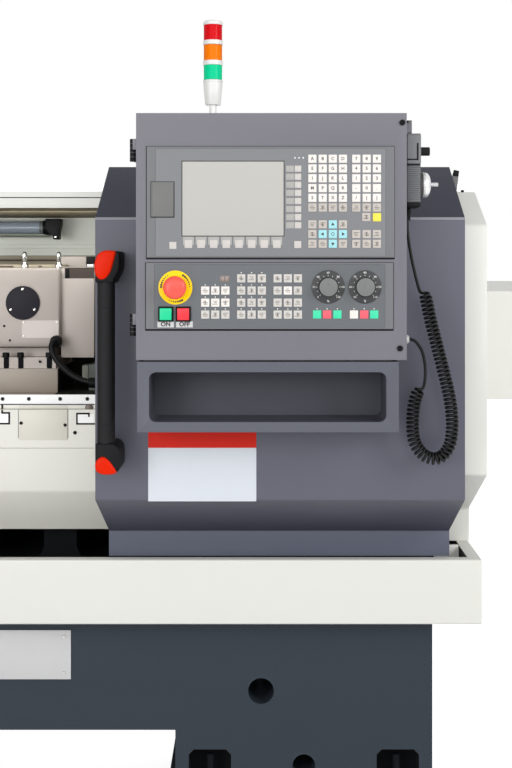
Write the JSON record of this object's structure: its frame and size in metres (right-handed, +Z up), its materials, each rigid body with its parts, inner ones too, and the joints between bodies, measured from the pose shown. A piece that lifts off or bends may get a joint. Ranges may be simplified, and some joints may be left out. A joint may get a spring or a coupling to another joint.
{
  "type": "cnc turning lathe",
  "caption": "Flat-bed CNC turning lathe with a sliding front door that carries the operator console, a tool turret, chip tray, cast stand and tower light.",
  "frame": {"origin": "on the floor under the middle of the machine's outer box", "axes": "+X to the operator's right, along the spindle line; -Y is the operator's side; +Z up"},
  "size_m": [2.3, 1.18, 1.715],
  "materials": {
    "slate_paint": "satin",
    "white_paint": "satin",
    "cast_paint": "matte",
    "turret_paint": "satin",
    "motor_paint": "satin",
    "steel": "machined",
    "wheel_metal": "satin",
    "black_plastic": "matte",
    "orange_plastic": "satin",
    "panel_film": "matte",
    "keypad_film": "matte",
    "flap_plastic": "matte",
    "screen": "satin",
    "stop_red": "satin",
    "start_green": "satin",
    "off_red": "satin",
    "cord_black": "matte",
    "gland_grey": "matte",
    "lamp_tube": "gloss",
    "tower_white": "gloss",
    "lens_green": "gloss",
    "lens_amber": "gloss",
    "lens_red": "gloss"
  },
  "bodies": {
    "root": {"base_casting": "cast_paint", "chip_tray": "white_paint", "bed": "cast_paint", "headstock": "cast_paint", "left_guard": "white_paint", "belt_cover": "white_paint", "right_guard": "white_paint", "end_cover": "white_paint", "roof_panel": "white_paint", "rear_wall": "white_paint", "main_motor": "motor_paint", "drive_belt": "cord_black", "z_servo": "motor_paint", "work_lamp": "lamp_tube", "cabinet": "white_paint", "tower_stem": "tower_white", "tower_green": "lens_green", "tower_amber": "lens_amber", "tower_red": "lens_red"},
    "door": {"door_shell": "slate_paint", "handle_tube": "black_plastic", "handle_end_top": "orange_plastic", "handle_end_bottom": "orange_plastic", "console_box": "slate_paint", "pendant_body": "black_plastic", "cord_gland": "gland_grey", "pendant_lead_top": "cord_black", "pendant_coil": "cord_black", "pendant_lead_bottom": "cord_black"},
    "console_front": {"console_door": "slate_paint", "screen_panel": "panel_film", "display": "screen", "control_panel": "keypad_film"},
    "port_cover": {"port_flap": "flap_plastic"},
    "estop": {"estop_button": "stop_red"},
    "start": {"start_button": "start_green"},
    "off": {"off_button": "off_red"},
    "feed_dial": {"feed_knob": "black_plastic"},
    "speed_dial": {"speed_knob": "black_plastic"},
    "handwheel": {"pendant_wheel": "wheel_metal"},
    "axis_dial": {"pendant_knob": "black_plastic"},
    "carriage": {"saddle": "white_paint", "apron_cover": "white_paint", "x_servo": "motor_paint"},
    "cross": {"cross_slide": "white_paint", "turret_body": "turret_paint", "turret_cover": "turret_paint", "turret_cable": "cord_black"},
    "turret": {"turret_disc": "steel"},
    "spindle_line": {"spindle": "steel", "chuck_body": "steel"},
    "jaw_a": {"jaw_1": "steel"},
    "jaw_b": {"jaw_2": "steel"},
    "jaw_c": {"jaw_3": "steel"},
    "motor_line": {"motor_pulley": "steel"},
    "screw_line": {"z_screw": "steel"},
    "tail": {"tailstock": "cast_paint"},
    "tail_quill": {"quill": "steel"},
    "cabinet_leaf": {"cabinet_door": "white_paint"}
  },
  "joints": [
    {"name": "door_slide", "type": "slide", "parent": "root", "child": "door", "axis": [1, 0, 0], "range_m": [-0.66, 0]},
    {"name": "console_swing", "type": "hinge", "parent": "door", "child": "console_front", "pos_m": [0.3215, -0.544, 1.24], "axis": [0, 0, -1], "range_deg": [0, 90]},
    {"name": "port_flap_swing", "type": "hinge", "parent": "console_front", "child": "port_cover", "pos_m": [0.3545, -0.56, 1.303], "axis": [0, 0, -1], "range_deg": [0, 110]},
    {"name": "estop_press", "type": "slide", "parent": "console_front", "child": "estop", "axis": [0, 1, 0], "range_m": [0, 0.004], "stiffness_N_per_m": 500},
    {"name": "start_press", "type": "slide", "parent": "console_front", "child": "start", "axis": [0, 1, 0], "range_m": [0, 0.0018], "stiffness_N_per_m": 300},
    {"name": "off_press", "type": "slide", "parent": "console_front", "child": "off", "axis": [0, 1, 0], "range_m": [0, 0.0018], "stiffness_N_per_m": 300},
    {"name": "feed_turn", "type": "hinge", "parent": "console_front", "child": "feed_dial", "pos_m": [0.667, -0.56, 1.1475], "axis": [0, -1, 0], "range_deg": [-150, 150]},
    {"name": "speed_turn", "type": "hinge", "parent": "console_front", "child": "speed_dial", "pos_m": [0.732, -0.56, 1.1475], "axis": [0, -1, 0], "range_deg": [-150, 150]},
    {"name": "handwheel_turn", "type": "hinge", "parent": "door", "child": "handwheel", "pos_m": [0.839, -0.5, 1.331], "axis": [1, 0, 0], "continuous": true},
    {"name": "axis_turn", "type": "hinge", "parent": "door", "child": "axis_dial", "pos_m": [0.839, -0.5, 1.392], "axis": [1, 0, 0], "range_deg": [-60, 60]},
    {"name": "carriage_slide", "type": "slide", "parent": "root", "child": "carriage", "axis": [1, 0, 0], "range_m": [-0.19, 0.28]},
    {"name": "cross_travel", "type": "slide", "parent": "carriage", "child": "cross", "axis": [0, 1, 0], "range_m": [-0.15, 0.06]},
    {"name": "turret_index", "type": "hinge", "parent": "cross", "child": "turret", "pos_m": [-0.1, 0.05, 1.1], "axis": [1, 0, 0], "continuous": true},
    {"name": "spindle_turn", "type": "hinge", "parent": "root", "child": "spindle_line", "pos_m": [0, 0.08, 1.1], "axis": [1, 0, 0], "continuous": true},
    {"name": "jaw_1_grip", "type": "slide", "parent": "spindle_line", "child": "jaw_a", "axis": [0, 0, 1], "range_m": [-0.006, 0.008]},
    {"name": "jaw_2_grip", "type": "slide", "parent": "spindle_line", "child": "jaw_b", "axis": [0, -0.866, -0.5], "range_m": [-0.006, 0.008]},
    {"name": "jaw_3_grip", "type": "slide", "parent": "spindle_line", "child": "jaw_c", "axis": [0, 0.866, -0.5], "range_m": [-0.006, 0.008]},
    {"name": "motor_turn", "type": "hinge", "parent": "root", "child": "motor_line", "pos_m": [-1, 0.425, 0.31], "axis": [1, 0, 0], "continuous": true},
    {"name": "screw_turn", "type": "hinge", "parent": "root", "child": "screw_line", "pos_m": [0.2, -0.125, 0.752], "axis": [1, 0, 0], "range_deg": [-6900, 10200]},
    {"name": "tailstock_slide", "type": "slide", "parent": "root", "child": "tail", "axis": [1, 0, 0], "range_m": [-0.06, 0]},
    {"name": "quill_slide", "type": "slide", "parent": "tail", "child": "tail_quill", "axis": [1, 0, 0], "range_m": [-0.06, 0]},
    {"name": "cabinet_swing", "type": "hinge", "parent": "root", "child": "cabinet_leaf", "pos_m": [-0.3565, 0.56985, 0.95], "axis": [0, 0, 1], "range_deg": [0, 110]}
  ],
  "couplings": [
    {"joint": "motor_turn", "follows": "spindle_turn", "ratio": 1.5455},
    {"joint": "jaw_2_grip", "follows": "jaw_1_grip", "ratio": 1},
    {"joint": "jaw_3_grip", "follows": "jaw_1_grip", "ratio": 1},
    {"joint": "screw_turn", "follows": "carriage_slide", "rad_per_m": 628.32}
  ]
}
